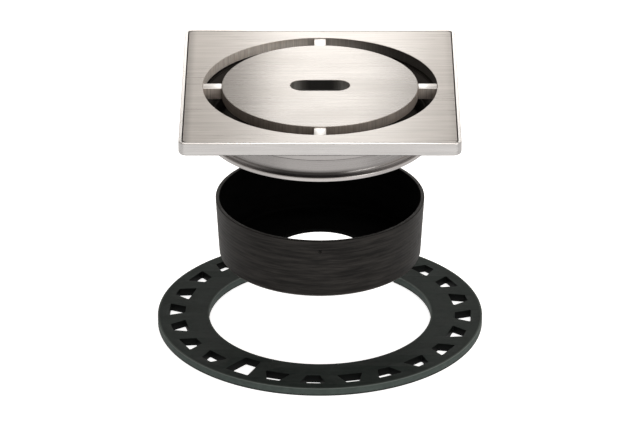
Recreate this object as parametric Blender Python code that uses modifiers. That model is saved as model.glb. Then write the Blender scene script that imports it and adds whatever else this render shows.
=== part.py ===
"""Square point-drain grate kit, shown with its stages drawn apart on one axis.

From the bottom up: a flat adjustment ring that lies in the mortar bed, a cup
shaped height ring, the cup shaped collar whose bottom flange rests on that ring's
rim, the square tray that the collar hangs from, and the lift-out grate (plate,
disc and four bridge bars) on its rest pads.  Z is the common axis, and z = 0 is the underside of the
adjustment ring.
"""
import math

import bmesh
import bpy
from mathutils import Matrix, Vector

MM = 0.001

# ---------------------------------------------------------------- dimensions
# All in millimetres.
ROUND_STEPS = 72            # facets round a turned piece
GAP = 0.3                   # clearance left where two pieces touch

# adjustment ring
ADJ_R_OUT = 60.0
ADJ_R_IN = 41.0
ADJ_THICK = 3.0
ADJ_CHAMFER = 0.45
WIN_COUNT = 24              # mortar-key windows round the ring
WIN_START_DEG = -2.7
WIN_R_MID = 52.75
WIN_DEPTH = 5.9             # radial
WIN_WIDE = 9.4
WIN_NARROW = 4.7
WIN_CORNER = 0.5
WIN_LONG_INDEX = 16         # one window reaches further in than the rest
WIN_LONG_R_MID = 50.3
WIN_LONG_DEPTH = 11.0
WIN_LONG_WIDE = 9.6
WIN_LONG_NARROW = 6.4
NOTCH_R = 0.55
NOTCH_DEG = (48.5, 51.5)

# height ring
HGT_TOP = 51.0
HGT_HEIGHT = 23.4
HGT_R_TOP = 38.2            # outside, at the rim
HGT_R_FOOT = 37.0           # outside, above the rounded foot
HGT_WALL = 1.4
HGT_FLOOR = 1.6
HGT_FOOT_ROUND = 2.4
HGT_HOLE_R = 17.0
HGT_RIM_CHAMFER = 0.3
PILOT_R = 0.6
PILOT_DROP = 4.2            # below the rim

# tray
TRAY_SIDE = 100.0
TRAY_TOP = 95.2
TRAY_HEIGHT = 5.0
TRAY_RIM = 1.2
TRAY_BASE = 0.8
TRAY_CORNER = 2.8
TRAY_FOOT_ROUND = 1.2
TRAY_TOP_CHAMFER = 0.3
TRAY_BORE_R = 42.9

# collar
COL_RISE = 0.3              # how far the mouth stands up inside the tray's bore
COL_WALL = 0.6
COL_R_MOUTH = 42.0          # inside, where it is welded into the tray's bore
COL_R_BORE = 38.5           # inside
COL_FUNNEL = 3.6            # depth of the funnel under the tray
COL_SHOULDER = 6.5          # depth of the small step below it
COL_STEP = 0.5              # how far the bore steps in there
COL_LENGTH = 14.0           # below the tray
COL_FILLET = 1.5            # outside, between the wall and the flange
LIP_R = 41.4                # the bottom flange, which rests on the height ring
LIP_THICK = 1.5
COL_OUTLET_R = 20.0

# grate
PLATE_THICK = 3.9
PLATE_CORNER = 1.5
PLATE_CHAMFER = 0.2
SLOT_R_OUT = 42.4
DISC_R = 35.5
DISC_THICK = 4.0
LIFT_LENGTH = 21.5          # finger slot in the disc
LIFT_WIDTH = 9.3
BAR_WIDTH = 4.3
BAR_HEIGHT = 4.25
BAR_DROP = 0.3              # bar tops sit a little below the disc

# rest pads, pressed into blind pockets in the plate's underside
PAD_R = 4.0
PAD_THICK = 0.92
PAD_PROUD = 0.22
PAD_AT = 40.0
PAD_POCKET_R = 4.25
PAD_POCKET_DEPTH = 0.8

TRAY_UNDER = TRAY_TOP - TRAY_HEIGHT
PLATE_UNDER = TRAY_TOP - PLATE_THICK

# -------------------------------------------------------------- clean start
for old in list(bpy.data.objects):
    bpy.data.objects.remove(old, do_unlink=True)
for old in list(bpy.data.collections):
    bpy.data.collections.remove(old)

parts = bpy.data.collections.new("point_drain_grate_kit")
cutters = bpy.data.collections.new("cutters")
bpy.context.scene.collection.children.link(parts)
bpy.context.scene.collection.children.link(cutters)


# ---------------------------------------------------------------- materials
def material(name, colour, roughness, metallic):
    mat = bpy.data.materials.new(name)
    mat.use_nodes = True
    shader = mat.node_tree.nodes["Principled BSDF"]
    shader.inputs["Base Color"].default_value = (*colour, 1.0)
    shader.inputs["Roughness"].default_value = roughness
    shader.inputs["Metallic"].default_value = metallic
    mat.diffuse_color = (*colour, 1.0)
    return mat


# ------------------------------------------------------------------ helpers
def add_object(name, mesh, mat=None, smooth=False):
    obj = bpy.data.objects.new(name, mesh)
    parts.objects.link(obj)
    if mat is not None:
        mesh.materials.append(mat)
    if smooth:
        mesh.shade_smooth()
        mesh.set_sharp_from_angle(angle=math.radians(35.0))
    return obj


def turned(name, profile, mat, steps=ROUND_STEPS):
    """A closed profile of (radius, height) points turned round Z.

    The points run down the outer side and back up the inner side."""
    mesh = bpy.data.meshes.new(name)
    bm = bmesh.new()
    verts = [bm.verts.new((r * MM, 0.0, z * MM)) for r, z in profile]
    for a, b in zip(verts, verts[1:] + verts[:1]):
        bm.edges.new((a, b))
    bm.to_mesh(mesh)
    bm.free()
    obj = bpy.data.objects.new(name, mesh)
    parts.objects.link(obj)
    mesh.materials.append(mat)
    screw = obj.modifiers.new("turn", "SCREW")
    screw.axis = "Z"
    screw.angle = math.tau
    screw.steps = steps
    screw.render_steps = steps
    screw.use_merge_vertices = True
    screw.merge_threshold = 0.00001
    screw.use_smooth_shade = True
    return obj


def rounded_block(size_x, size_y, z_low, z_high, corner, corner_steps,
                  foot_round=0.0, foot_steps=2, top_chamfer=0.0):
    """A block with rounded upright corners and softened top and bottom edges."""
    bm = bmesh.new()
    bmesh.ops.create_cube(bm, size=1.0)
    bmesh.ops.scale(bm, vec=(size_x * MM, size_y * MM, (z_high - z_low) * MM),
                    verts=bm.verts)
    bmesh.ops.translate(bm, vec=(0.0, 0.0, 0.5 * (z_low + z_high) * MM),
                        verts=bm.verts)
    upright = [e for e in bm.edges
               if abs(e.verts[0].co.z - e.verts[1].co.z) > 1e-6]
    bmesh.ops.bevel(bm, geom=upright, offset=corner * MM, segments=corner_steps,
                    profile=0.5, affect="EDGES", offset_type="OFFSET")

    def edge_loop(z):
        return [e for e in bm.edges
                if abs(e.verts[0].co.z - z * MM) < 1e-7
                and abs(e.verts[1].co.z - z * MM) < 1e-7
                and len(e.link_faces) == 2
                and any(abs(f.normal.z) < 0.5 for f in e.link_faces)]

    bm.normal_update()
    if foot_round:
        bmesh.ops.bevel(bm, geom=edge_loop(z_low), offset=foot_round * MM,
                        segments=foot_steps, profile=0.5, affect="EDGES",
                        offset_type="OFFSET")
        bm.normal_update()
    if top_chamfer:
        bmesh.ops.bevel(bm, geom=edge_loop(z_high), offset=top_chamfer * MM,
                        segments=1, profile=0.5, affect="EDGES",
                        offset_type="OFFSET")
        bm.normal_update()
    return bm


def disc_mesh(radius, z_low, z_high, steps=ROUND_STEPS, at=(0.0, 0.0)):
    bm = bmesh.new()
    bmesh.ops.create_cone(bm, cap_ends=True, cap_tris=False, segments=steps,
                          radius1=radius * MM, radius2=radius * MM,
                          depth=(z_high - z_low) * MM)
    bmesh.ops.translate(bm, vec=(at[0] * MM, at[1] * MM,
                                 0.5 * (z_low + z_high) * MM), verts=bm.verts)
    return bm


def to_mesh(bm, name):
    mesh = bpy.data.meshes.new(name)
    bm.normal_update()
    bm.to_mesh(mesh)
    bm.free()
    return mesh


def cutter(name, mesh):
    obj = bpy.data.objects.new(name, mesh)
    cutters.objects.link(obj)
    obj.hide_render = True
    obj.display_type = "WIRE"
    return obj


def cut(target, tool, label):
    mod = target.modifiers.new(label, "BOOLEAN")
    mod.operation = "DIFFERENCE"
    mod.object = tool
    mod.solver = "EXACT"
    return mod


def arc(cx, cz, radius, start_deg, end_deg, steps):
    """Points on an arc in the profile plane, both ends included."""
    out = []
    for i in range(steps + 1):
        a = math.radians(start_deg + (end_deg - start_deg) * i / steps)
        out.append((cx + radius * math.cos(a), cz + radius * math.sin(a)))
    return out


def prism(outline, z_low, z_high):
    """An upright prism on a counter-clockwise outline."""
    bm = bmesh.new()
    base = [bm.verts.new((x * MM, y * MM, z_low * MM)) for x, y in outline]
    face = bm.faces.new(base)
    face.normal_flip()
    grown = bmesh.ops.extrude_face_region(bm, geom=[face])
    top = [v for v in grown["geom"] if isinstance(v, bmesh.types.BMVert)]
    bmesh.ops.translate(bm, vec=(0.0, 0.0, (z_high - z_low) * MM), verts=top)
    bmesh.ops.recalc_face_normals(bm, faces=bm.faces)
    return bm


def soft_corners(outline, radius, steps=2):
    """The outline with each corner rounded by an arc of the given radius."""
    out = []
    count = len(outline)
    for i in range(count):
        before = Vector(outline[i - 1])
        here = Vector(outline[i])
        after = Vector(outline[(i + 1) % count])
        to_before = (before - here).normalized()
        to_after = (after - here).normalized()
        half = 0.5 * to_before.angle(to_after)
        back = radius / math.tan(half)
        start = here + to_before * back
        end = here + to_after * back
        centre = here + (to_before + to_after).normalized() * (radius / math.sin(half))
        a = (start - centre)
        b = (end - centre)
        sweep = a.angle_signed(b)
        for s in range(steps + 1):
            turn = -sweep * s / steps
            ca, sa = math.cos(turn), math.sin(turn)
            out.append((centre.x + a.x * ca - a.y * sa,
                        centre.y + a.x * sa + a.y * ca))
    return out


def placed(outline, radius, angle_deg):
    """Moves an outline drawn with +X radial out to a radius and an angle."""
    a = math.radians(angle_deg)
    ca, sa = math.cos(a), math.sin(a)
    return [((radius + x) * ca - y * sa, (radius + x) * sa + y * ca)
            for x, y in outline]


# ---------------------------------------------------------- adjustment ring
steel = (0.62, 0.60, 0.57)
ring_grey = material("ring_grey_green_plastic", (0.022, 0.028, 0.026), 0.42, 0.0)
c = ADJ_CHAMFER
adjustment_ring = turned("adjustment_ring", [
    (ADJ_R_OUT - c, ADJ_THICK),
    (ADJ_R_OUT, ADJ_THICK - c),
    (ADJ_R_OUT, 0.0),
    (ADJ_R_IN, 0.0),
    (ADJ_R_IN, ADJ_THICK - c),
    (ADJ_R_IN + c, ADJ_THICK),
], ring_grey, steps=96)

for k in range(WIN_COUNT):
    angle = WIN_START_DEG + 360.0 / WIN_COUNT * k
    if k == WIN_LONG_INDEX:
        outer, inner = WIN_LONG_WIDE / 2, WIN_LONG_NARROW / 2
        half_d, radius = WIN_LONG_DEPTH / 2, WIN_LONG_R_MID
    else:
        outer = WIN_WIDE / 2 if k % 2 == 0 else WIN_NARROW / 2
        inner = WIN_NARROW / 2 if k % 2 == 0 else WIN_WIDE / 2
        half_d, radius = WIN_DEPTH / 2, WIN_R_MID
    outline = [(-half_d, -inner), (half_d, -outer),
               (half_d, outer), (-half_d, inner)]
    window = placed(soft_corners(outline, WIN_CORNER), radius, angle)
    tool = cutter("window_cutter_%02d" % k,
                  to_mesh(prism(window, -2.0, ADJ_THICK + 2.0),
                          "window_cutter_%02d" % k))
    cut(adjustment_ring, tool, "window_%02d" % k)

for i, angle in enumerate(NOTCH_DEG):
    a = math.radians(angle)
    tool = cutter("notch_cutter_%d" % i, to_mesh(disc_mesh(
        NOTCH_R, -2.0, ADJ_THICK + 2.0, steps=12,
        at=(ADJ_R_IN * math.cos(a), ADJ_R_IN * math.sin(a))),
        "notch_cutter_%d" % i))
    cut(adjustment_ring, tool, "notch_%d" % i)

# -------------------------------------------------------------- height ring
black = material("ring_black_plastic", (0.018, 0.017, 0.016), 0.38, 0.0)
foot = HGT_TOP - HGT_HEIGHT
r = HGT_FOOT_ROUND
floor_top = foot + HGT_FLOOR
c = HGT_RIM_CHAMFER
height_ring = turned("height_ring", (
    [(HGT_R_TOP - c, HGT_TOP), (HGT_R_TOP, HGT_TOP - c)]
    + arc(HGT_R_FOOT - r, foot + r, r, 0.0, -90.0, 4)
    + [(HGT_HOLE_R, foot), (HGT_HOLE_R, floor_top),
       (HGT_R_FOOT - HGT_WALL - 0.6, floor_top),
       (HGT_R_FOOT - HGT_WALL, floor_top + 0.6),
       (HGT_R_TOP - HGT_WALL, HGT_TOP)]), black)
pilot = disc_mesh(PILOT_R, -3.0, 3.0, steps=12)
bmesh.ops.rotate(pilot, cent=(0, 0, 0),
                 matrix=Matrix.Rotation(math.radians(90.0), 3, "X"),
                 verts=pilot.verts)
bmesh.ops.translate(pilot, vec=(0.0, -(HGT_R_TOP - HGT_WALL / 2) * MM,
                                (HGT_TOP - PILOT_DROP) * MM), verts=pilot.verts)
cut(height_ring, cutter("pilot_cutter", to_mesh(pilot, "pilot_cutter")), "pilot")

# ------------------------------------------------------------------- collar
collar_steel = material("collar_steel", steel, 0.28, 1.0)
top = TRAY_UNDER + COL_RISE
neck = TRAY_UNDER - COL_FUNNEL
step = TRAY_UNDER - COL_SHOULDER
low = TRAY_UNDER - COL_LENGTH
w = COL_WALL
f = COL_FILLET
wide = COL_R_BORE + COL_STEP        # inside radius above the step
frame_collar = turned("frame_collar", (
    [(COL_R_MOUTH + w, top),
     (COL_R_MOUTH + w, TRAY_UNDER - 0.3),
     (wide + w + 0.3, neck + 0.5),
     (wide + w, neck),
     (wide + w, step + 0.2),
     (COL_R_BORE + w, step - 0.2),
     (COL_R_BORE + w, low + LIP_THICK + f)]
    + arc(COL_R_BORE + w + f, low + LIP_THICK + f, f, 180.0, 270.0, 4)[1:]
    + [(LIP_R - 0.2, low + LIP_THICK),
       (LIP_R, low + LIP_THICK - 0.2),
       (LIP_R, low + 0.2),
       (LIP_R - 0.2, low),
       (COL_OUTLET_R, low),
       (COL_OUTLET_R, low + LIP_THICK),
       (COL_R_BORE - 0.8, low + LIP_THICK),
       (COL_R_BORE, low + LIP_THICK + 0.8),
       (COL_R_BORE, step + 0.1),
       (wide, step + 0.5),
       (wide, neck + 0.15),
       (wide + 0.3, neck + 0.65),
       (COL_R_MOUTH, TRAY_UNDER - 0.1),
       (COL_R_MOUTH, top)]), collar_steel)

# --------------------------------------------------------------------- tray
tray_steel = material("tray_steel", steel, 0.24, 1.0)
frame_tray = add_object("frame_tray", to_mesh(rounded_block(
    TRAY_SIDE, TRAY_SIDE, TRAY_UNDER, TRAY_TOP, TRAY_CORNER, 5,
    foot_round=TRAY_FOOT_ROUND, foot_steps=2,
    top_chamfer=TRAY_TOP_CHAMFER), "frame_tray"), tray_steel, smooth=True)
inside = TRAY_SIDE - 2 * TRAY_RIM
cut(frame_tray, cutter("tray_pocket", to_mesh(rounded_block(
    inside, inside, TRAY_UNDER + TRAY_BASE, TRAY_TOP + 3.0,
    TRAY_CORNER - TRAY_RIM + 0.1, 4), "tray_pocket")), "pocket")
cut(frame_tray, cutter("tray_bore", to_mesh(disc_mesh(
    TRAY_BORE_R, TRAY_UNDER - 3.0, TRAY_UNDER + TRAY_BASE + 3.0),
    "tray_bore")), "bore")

# -------------------------------------------------------------------- grate
plate_steel = material("plate_brushed_steel", steel, 0.30, 1.0)
side = TRAY_SIDE - 2 * TRAY_RIM - 2 * GAP
grate_plate = add_object("grate_plate", to_mesh(rounded_block(
    side, side, PLATE_UNDER, TRAY_TOP, PLATE_CORNER, 4,
    top_chamfer=PLATE_CHAMFER), "grate_plate"), plate_steel, smooth=True)
cut(grate_plate, cutter("slot_bore", to_mesh(disc_mesh(
    SLOT_R_OUT, PLATE_UNDER - 3.0, TRAY_TOP + 3.0, steps=96),
    "slot_bore")), "slot")

disc_steel = material("disc_brushed_steel", steel, 0.30, 1.0)
grate_disc = turned("grate_disc", [
    (0.0, TRAY_TOP), (DISC_R - PLATE_CHAMFER, TRAY_TOP),
    (DISC_R, TRAY_TOP - PLATE_CHAMFER),
    (DISC_R, TRAY_TOP - DISC_THICK),
    (0.0, TRAY_TOP - DISC_THICK)], disc_steel)
cut(grate_disc, cutter("lift_slot", to_mesh(rounded_block(
    LIFT_LENGTH, LIFT_WIDTH, TRAY_TOP - DISC_THICK - 3.0, TRAY_TOP + 3.0,
    LIFT_WIDTH / 2 - 0.02, 8), "lift_slot")), "lift_slot")

bar_steel = material("bar_steel", (0.70, 0.69, 0.67), 0.22, 1.0)
bar_inner = DISC_R + GAP
bar_outer = SLOT_R_OUT - GAP - 0.05
for label, angle in (("right", 0.0), ("rear", 90.0), ("left", 180.0),
                     ("front", 270.0)):
    bm = bmesh.new()
    bmesh.ops.create_cube(bm, size=1.0)
    bmesh.ops.scale(bm, vec=((bar_outer - bar_inner) * MM, BAR_WIDTH * MM,
                             BAR_HEIGHT * MM), verts=bm.verts)
    bmesh.ops.translate(bm, vec=(0.5 * (bar_inner + bar_outer) * MM, 0.0,
                                 (TRAY_TOP - BAR_DROP - BAR_HEIGHT / 2) * MM),
                        verts=bm.verts)
    bmesh.ops.rotate(bm, cent=(0, 0, 0),
                     matrix=Matrix.Rotation(math.radians(angle), 3, "Z"),
                     verts=bm.verts)
    add_object("bridge_bar_" + label, to_mesh(bm, "bridge_bar_" + label),
               bar_steel)

rubber = material("pad_rubber", (0.03, 0.03, 0.03), 0.75, 0.0)
pad_low = PLATE_UNDER - PAD_PROUD
for label, sx, sy in (("front_left", -1, -1), ("front_right", 1, -1),
                      ("rear_left", -1, 1), ("rear_right", 1, 1)):
    at = (sx * PAD_AT, sy * PAD_AT)
    cut(grate_plate, cutter("pad_pocket_" + label, to_mesh(disc_mesh(
        PAD_POCKET_R, PLATE_UNDER - 2.0, PLATE_UNDER + PAD_POCKET_DEPTH,
        steps=24, at=at), "pad_pocket_" + label)), "pocket_" + label)
    add_object("rest_pad_" + label, to_mesh(disc_mesh(
        PAD_R, pad_low, pad_low + PAD_THICK, steps=24, at=at),
        "rest_pad_" + label), rubber, smooth=True)
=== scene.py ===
import math

import bmesh
import bpy
from mathutils import Matrix, Vector
from mathutils import noise as mnoise


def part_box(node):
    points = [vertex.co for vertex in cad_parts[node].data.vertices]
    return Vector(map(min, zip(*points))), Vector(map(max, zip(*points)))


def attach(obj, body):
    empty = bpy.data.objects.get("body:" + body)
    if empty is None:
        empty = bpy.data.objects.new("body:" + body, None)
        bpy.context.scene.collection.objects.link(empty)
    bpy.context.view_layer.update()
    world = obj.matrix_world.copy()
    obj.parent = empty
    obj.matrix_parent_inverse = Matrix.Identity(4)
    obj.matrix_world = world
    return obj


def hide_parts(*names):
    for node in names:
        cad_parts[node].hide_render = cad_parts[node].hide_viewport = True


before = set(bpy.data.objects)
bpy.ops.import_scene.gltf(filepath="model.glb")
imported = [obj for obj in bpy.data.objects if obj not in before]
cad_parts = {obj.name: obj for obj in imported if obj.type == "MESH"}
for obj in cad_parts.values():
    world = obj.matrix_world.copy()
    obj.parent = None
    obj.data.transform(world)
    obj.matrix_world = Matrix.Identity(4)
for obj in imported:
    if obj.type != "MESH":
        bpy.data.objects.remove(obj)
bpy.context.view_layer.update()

MM = 0.001
scene = bpy.context.scene
scene.view_settings.view_transform = "Standard"
scene.view_settings.look = "None"
scene.view_settings.exposure = 0.0
scene.view_settings.gamma = 1.0

# ---------------------------------------------------------------- CAD places
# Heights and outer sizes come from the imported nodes.
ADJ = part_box("adjustment_ring")
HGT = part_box("height_ring")
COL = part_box("frame_collar")
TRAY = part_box("frame_tray")
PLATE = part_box("grate_plate")
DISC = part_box("grate_disc")
BAR = {k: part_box("bridge_bar_" + k) for k in ("front", "rear", "left", "right")}
PAD = {k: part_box("rest_pad_" + k) for k in
       ("front_left", "front_right", "rear_left", "rear_right")}
TOP = TRAY[1].z


# --------------------------------------------------------------- mesh helpers
def finish_mesh(bm, name, sharp=32.0, merge=1e-7):
    bmesh.ops.remove_doubles(bm, verts=bm.verts, dist=merge)
    bmesh.ops.recalc_face_normals(bm, faces=bm.faces)
    mesh = bpy.data.meshes.new(name)
    bm.to_mesh(mesh)
    bm.free()
    mesh.shade_smooth()
    mesh.set_sharp_from_angle(angle=math.radians(sharp))
    obj = bpy.data.objects.new(name, mesh)
    scene.collection.objects.link(obj)
    return obj


def loft(loops):
    """Quads between closed loops of equal length, the last joined to the first.

    A long face gets a narrow strip at each end, so that the smooth shading of a
    rounded edge doesn't spread over the flat beside it."""
    bm = bmesh.new()
    strip, full = 0.03 * MM, []
    for a, b in zip(loops, loops[1:] + loops[:1]):
        full.append(a)
        if min((q - p).length for p, q in zip(a, b)) > 0.45 * MM:
            full.append([p + (q - p).normalized() * strip for p, q in zip(a, b)])
            full.append([q + (p - q).normalized() * strip for p, q in zip(a, b)])
    rows = [[bm.verts.new(p) for p in loop] for loop in full]
    count = len(rows[0])
    for a, b in zip(rows, rows[1:] + rows[:1]):
        for i in range(count):
            j = (i + 1) % count
            bm.faces.new((a[i], a[j], b[j], b[i]))
    return bm


def circle(radius, z, angles, wobble=None):
    if wobble is None:
        return [Vector((radius * math.cos(a), radius * math.sin(a), z)) for a in angles]
    out = []
    for a in angles:
        r = radius + wobble(a, z)
        out.append(Vector((r * math.cos(a), r * math.sin(a), z)))
    return out


def even(count):
    return [math.tau * i / count for i in range(count)]


def square_angles(per_side, corner_steps, half, corner):
    """Points round a rounded square: returns (base point, outward direction) pairs.

    A loop offset inwards by d is base - d * direction, so every loop of one
    outline keeps the same count and the same places."""
    out = []
    flat = half - corner
    for q in range(4):
        rot = Matrix.Rotation(q * math.pi / 2, 2)
        for i in range(per_side):
            t = -1.0 + 2.0 * i / per_side
            out.append((rot @ Vector((half, flat * t)), rot @ Vector((1.0, 0.0))))
        for i in range(corner_steps):
            a = math.pi / 2 * i / corner_steps
            d = Vector((math.cos(a), math.sin(a)))
            out.append((rot @ (Vector((flat, flat)) + d * corner), rot @ d))
    return out


def square_loop(outline, inset, z):
    return [Vector((p.x - d.x * inset, p.y - d.y * inset, z)) for p, d in outline]


def outline_angles(outline):
    return [math.atan2(p.y, p.x) for p, d in outline]


def round_edge(inset, z, radius, start, end, steps=3):
    """(inset, z) pairs on a quarter arc. start and end are angles in degrees in
    the plane where 0 points outwards (less inset) and 90 points up."""
    out = []
    for i in range(steps + 1):
        a = math.radians(start + (end - start) * i / steps)
        out.append((inset - radius * math.cos(a), z + radius * math.sin(a)))
    return out


def settle(obj, body, node, mat):
    obj.data.materials.clear()
    obj.data.materials.append(mat)
    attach(obj, body)
    if node:
        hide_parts(*([node] if isinstance(node, str) else node))
    return obj


# ----------------------------------------------------------- material helpers
class Nodes:
    """A small wrapper that adds and links shader nodes."""

    def __init__(self, name):
        self.mat = bpy.data.materials.new(name)
        self.mat.use_nodes = True
        self.tree = self.mat.node_tree
        self.bsdf = self.tree.nodes["Principled BSDF"]
        self.geo = self.add("ShaderNodeNewGeometry")
        self.tc = self.add("ShaderNodeTexCoord")

    def add(self, kind, **props):
        node = self.tree.nodes.new(kind)
        for k, v in props.items():
            setattr(node, k, v)
        return node

    def link(self, a, b):
        self.tree.links.new(a, b)

    def mapped(self, scale, rotation=(0, 0, 0), source=None, location=(0, 0, 0)):
        node = self.add("ShaderNodeMapping")
        node.inputs["Scale"].default_value = scale
        node.inputs["Rotation"].default_value = rotation
        node.inputs["Location"].default_value = location
        self.link(source or self.tc.outputs["Object"], node.inputs["Vector"])
        return node.outputs["Vector"]

    def noise(self, vector, scale, detail=3.0, rough=0.5, distortion=0.0):
        node = self.add("ShaderNodeTexNoise")
        node.inputs["Scale"].default_value = scale
        node.inputs["Detail"].default_value = detail
        node.inputs["Roughness"].default_value = rough
        node.inputs["Distortion"].default_value = distortion
        self.link(vector, node.inputs["Vector"])
        return node.outputs["Fac"]

    def span(self, value, a, b, lo, hi, smooth=False):
        node = self.add("ShaderNodeMapRange")
        node.clamp = True
        node.interpolation_type = "SMOOTHSTEP" if smooth else "LINEAR"
        node.inputs["From Min"].default_value = a
        node.inputs["From Max"].default_value = b
        node.inputs["To Min"].default_value = lo
        node.inputs["To Max"].default_value = hi
        self.link(value, node.inputs["Value"])
        return node.outputs["Result"]

    def math(self, op, a, b=None, c=None, clamp=False):
        node = self.add("ShaderNodeMath", operation=op)
        node.use_clamp = clamp
        for i, v in enumerate((a, b, c)):
            if v is None:
                continue
            if isinstance(v, (int, float)):
                node.inputs[i].default_value = v
            else:
                self.link(v, node.inputs[i])
        return node.outputs[0]

    def mix(self, fac, a, b, blend="MIX"):
        node = self.add("ShaderNodeMix", data_type="RGBA", blend_type=blend)
        if isinstance(fac, (int, float)):
            node.inputs[0].default_value = fac
        else:
            self.link(fac, node.inputs[0])
        for i, v in ((6, a), (7, b)):
            if isinstance(v, tuple):
                node.inputs[i].default_value = (*v, 1.0) if len(v) == 3 else v
            else:
                self.link(v, node.inputs[i])
        return node.outputs[2]

    def bump(self, height, strength, distance, normal=None):
        node = self.add("ShaderNodeBump")
        node.inputs["Strength"].default_value = strength
        node.inputs["Distance"].default_value = distance
        self.link(height, node.inputs["Height"])
        if normal is not None:
            self.link(normal, node.inputs["Normal"])
        return node.outputs["Normal"]

    def polar(self):
        """(angle * radius-ish, radius, z) as a vector, for turned pieces, in metres."""
        sep = self.add("ShaderNodeSeparateXYZ")
        self.link(self.tc.outputs["Object"], sep.inputs[0])
        angle = self.math("ARCTAN2", sep.outputs["Y"], sep.outputs["X"])
        r2 = self.math("ADD", self.math("MULTIPLY", sep.outputs["X"], sep.outputs["X"]),
                       self.math("MULTIPLY", sep.outputs["Y"], sep.outputs["Y"]))
        radius = self.math("SQRT", r2)
        # the angle wraps at the back, so it is fed as cosine and sine
        cosine = self.math("DIVIDE", sep.outputs["X"], self.math("MAXIMUM", radius, 1e-6))
        sine = self.math("DIVIDE", sep.outputs["Y"], self.math("MAXIMUM", radius, 1e-6))
        return angle, radius, sep.outputs["Z"], cosine, sine

    def vector(self, x, y, z):
        node = self.add("ShaderNodeCombineXYZ")
        for i, v in enumerate((x, y, z)):
            if isinstance(v, (int, float)):
                node.inputs[i].default_value = v
            else:
                self.link(v, node.inputs[i])
        return node.outputs[0]


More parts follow.
